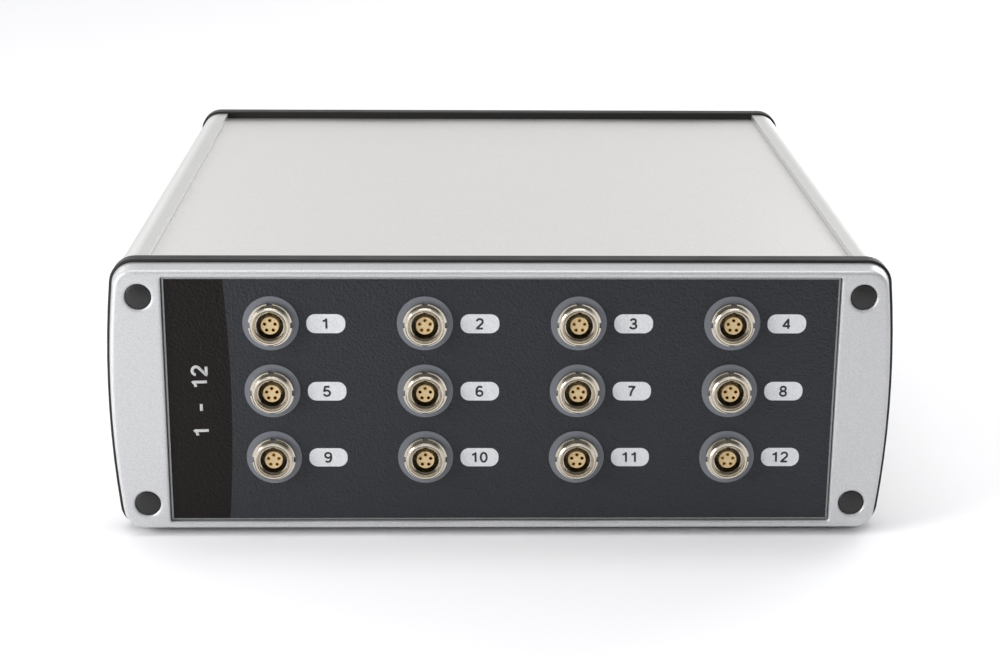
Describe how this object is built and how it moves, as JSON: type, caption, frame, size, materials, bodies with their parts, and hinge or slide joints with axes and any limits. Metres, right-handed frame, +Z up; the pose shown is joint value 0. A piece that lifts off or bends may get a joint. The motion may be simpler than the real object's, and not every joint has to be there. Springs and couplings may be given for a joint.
{
  "type": "potentiostat",
  "caption": "Flat bench potentiostat in a metal profile case with black end frames, a dark front panel of numbered round receptacles and a rear panel with power switch and ports.",
  "frame": {"origin": "on the table, under the middle of the instrument", "axes": "-Y out of the front panel, +X to the right seen from the front, +Z up"},
  "size_m": [0.2614, 0.2742, 0.0951],
  "materials": {
    "silver_paint": "fine metallic grain",
    "black_rubber": "matte",
    "anodised_aluminium": "satin anodised",
    "panel_aluminium": "satin",
    "steel": "zinc plated",
    "black_plastic": "fine grain",
    "dark_foil": "fine leather grain",
    "nickel": "satin nickel plate",
    "insert_plastic": "smooth",
    "gold": "gold plated",
    "grey_plastic": "smooth",
    "board": "solder mask",
    "tinned_steel": "tin plate"
  },
  "bodies": {
    "housing": {"front_bezel": "silver_paint", "rear_bezel": "silver_paint", "front_seal": "black_rubber", "rear_seal": "black_rubber", "right_side_profile": "anodised_aluminium", "left_side_profile": "anodised_aluminium", "top_cover": "anodised_aluminium", "bottom_cover": "anodised_aluminium", "rubber_feet": "black_rubber", "case_screws": "steel", "screw_caps": "black_plastic", "front_panel": "panel_aluminium", "front_foil": "dark_foil", "panel_screws": "steel", "receptacle_shell_01": "nickel", "receptacle_shell_02": "nickel", "receptacle_shell_03": "nickel", "receptacle_shell_04": "nickel", "receptacle_shell_05": "nickel", "receptacle_shell_06": "nickel", "receptacle_shell_07": "nickel", "receptacle_shell_08": "nickel", "receptacle_shell_09": "nickel", "receptacle_shell_10": "nickel", "receptacle_shell_11": "nickel", "receptacle_shell_12": "nickel", "receptacle_insert_01": "insert_plastic", "receptacle_insert_02": "insert_plastic", "receptacle_insert_03": "insert_plastic", "receptacle_insert_04": "insert_plastic", "receptacle_insert_05": "insert_plastic", "receptacle_insert_06": "insert_plastic", "receptacle_insert_07": "insert_plastic", "receptacle_insert_08": "insert_plastic", "receptacle_insert_09": "insert_plastic", "receptacle_insert_10": "insert_plastic", "receptacle_insert_11": "insert_plastic", "receptacle_insert_12": "insert_plastic", "receptacle_contacts": "gold", "insulating_washers": "grey_plastic", "receptacle_nuts": "nickel", "front_board": "board", "channel_board_1": "board", "channel_board_2": "board", "channel_board_3": "board", "shield_cans_1": "tinned_steel", "shield_cans_2": "tinned_steel", "shield_cans_3": "tinned_steel", "board_headers": "black_plastic", "backplane": "board", "interface_board": "board", "rear_panel": "panel_aluminium", "power_switch_housing": "black_plastic", "dc_inlet": "black_plastic", "network_port": "tinned_steel", "serial_bus_port": "tinned_steel", "auxiliary_port": "nickel", "jackscrews": "nickel", "earth_socket": "nickel"},
    "power_switch": {"power_rocker": "black_plastic"}
  },
  "joints": [
    {"name": "power_rocker_hinge", "type": "hinge", "parent": "housing", "child": "power_switch", "pos_m": [0.085, 0.1315, 0.048], "axis": [1, 0, 0], "range_deg": [-16, 0]}
  ]
}
